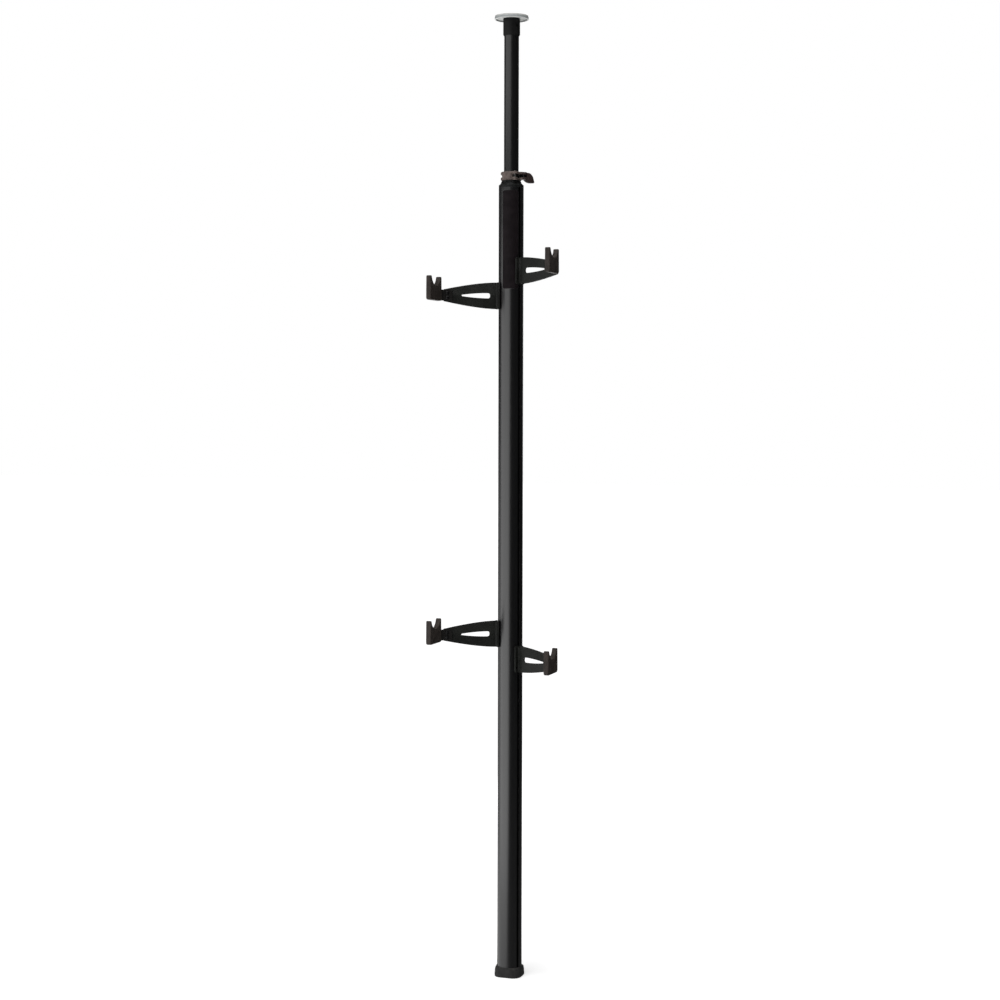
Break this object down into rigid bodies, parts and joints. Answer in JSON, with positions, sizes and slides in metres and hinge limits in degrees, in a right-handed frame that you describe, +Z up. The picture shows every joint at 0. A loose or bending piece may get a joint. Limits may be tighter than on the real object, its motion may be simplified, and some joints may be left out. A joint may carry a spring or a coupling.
{
  "type": "bike storage tower",
  "caption": "Floor-to-ceiling column with a clamped upper tube, a sprung ceiling cap, a rubber boot and sliding arms with padded cradles that hold bicycles by their top tubes.",
  "frame": {"origin": "on the floor at the column's axis", "axes": "+Z up along the column, -Y to the front where the bikes hang, +X to the right as seen from the front"},
  "size_m": [0.32, 0.2271, 2.4393],
  "materials": {
    "column": "black anodised extrusion, satin with fine lines along its length",
    "upper_tube": "black anodised drawn tube, satin",
    "arm_paint": "black powder coat, fine texture",
    "clamp_grey": "warm grey painted casting, semi-matte",
    "bright_steel": "zinc plated, turned",
    "dark_steel": "black oxide",
    "plastic": "moulded, fine grain",
    "lever_plastic": "moulded, fine grain",
    "pale_plastic": "moulded, blue grey",
    "pad_rubber": "soft, non-marking",
    "rubber": "moulded, matte",
    "cradle_rubber": "dipped, soft sheen",
    "label": "dark printed film, blank"
  },
  "bodies": {
    "column": {"foot_boot": "rubber", "foot_plug": "plastic", "column_extrusion": "column", "column_label": "label", "column_cap": "plastic", "cap_screw": "dark_steel", "clamp_ring": "clamp_grey", "clamp_barrel": "bright_steel", "clamp_tie_bolt": "bright_steel", "clamp_lever_pin": "bright_steel"},
    "clamp_lever": {"clamp_lever": "lever_plastic"},
    "upper_tube": {"upper_tube": "upper_tube", "tube_guide_bush": "plastic", "spring_seat": "plastic", "top_spring": "bright_steel"},
    "ceiling_cap": {"cap_sleeve": "plastic", "travel_screw": "dark_steel", "ceiling_disc": "pale_plastic", "disc_screw": "dark_steel", "ceiling_pad": "pad_rubber"},
    "upper_left_arm": {"upper_left_arm": "arm_paint", "upper_left_lock_screw_front": "dark_steel", "upper_left_lock_screw_rear": "dark_steel", "upper_left_yoke_screw_upper": "dark_steel", "upper_left_yoke_screw_lower": "dark_steel", "upper_left_yoke": "arm_paint", "upper_left_cradle_cover": "cradle_rubber"},
    "upper_right_arm": {"upper_right_arm": "arm_paint", "upper_right_lock_screw_front": "dark_steel", "upper_right_lock_screw_rear": "dark_steel", "upper_right_yoke_screw_upper": "dark_steel", "upper_right_yoke_screw_lower": "dark_steel", "upper_right_yoke": "arm_paint", "upper_right_cradle_cover": "cradle_rubber"},
    "lower_left_arm": {"lower_left_arm": "arm_paint", "lower_left_lock_screw_front": "dark_steel", "lower_left_lock_screw_rear": "dark_steel", "lower_left_yoke_screw_upper": "dark_steel", "lower_left_yoke_screw_lower": "dark_steel", "lower_left_yoke": "arm_paint", "lower_left_cradle_cover": "cradle_rubber"},
    "lower_right_arm": {"lower_right_arm": "arm_paint", "lower_right_lock_screw_front": "dark_steel", "lower_right_lock_screw_rear": "dark_steel", "lower_right_yoke_screw_upper": "dark_steel", "lower_right_yoke_screw_lower": "dark_steel", "lower_right_yoke": "arm_paint", "lower_right_cradle_cover": "cradle_rubber"}
  },
  "joints": [
    {"name": "upper_tube_slide", "type": "slide", "parent": "column", "child": "upper_tube", "axis": [0, 0, 1], "range_m": [-0.3, 0.61]},
    {"name": "ceiling_cap_spring", "type": "slide", "parent": "upper_tube", "child": "ceiling_cap", "axis": [0, 0, 1], "range_m": [-0.006, 0], "stiffness_N_per_m": 4000, "springref_m": 0.02, "deforming": ["top_spring"]},
    {"name": "clamp_lever_turn", "type": "hinge", "parent": "column", "child": "clamp_lever", "pos_m": [0.033, 0, 2.039], "axis": [0, 0, -1], "range_deg": [0, 105]},
    {"name": "upper_left_arm_slide", "type": "slide", "parent": "column", "child": "upper_left_arm", "axis": [0, 0, 1], "range_m": [-0.364, 0.22]},
    {"name": "upper_right_arm_slide", "type": "slide", "parent": "column", "child": "upper_right_arm", "axis": [0, 0, 1], "range_m": [-0.426, 0.158]},
    {"name": "lower_left_arm_slide", "type": "slide", "parent": "column", "child": "lower_left_arm", "axis": [0, 0, 1], "range_m": [-0.782, 0.368]},
    {"name": "lower_right_arm_slide", "type": "slide", "parent": "column", "child": "lower_right_arm", "axis": [0, 0, 1], "range_m": [-0.719, 0.431]}
  ]
}
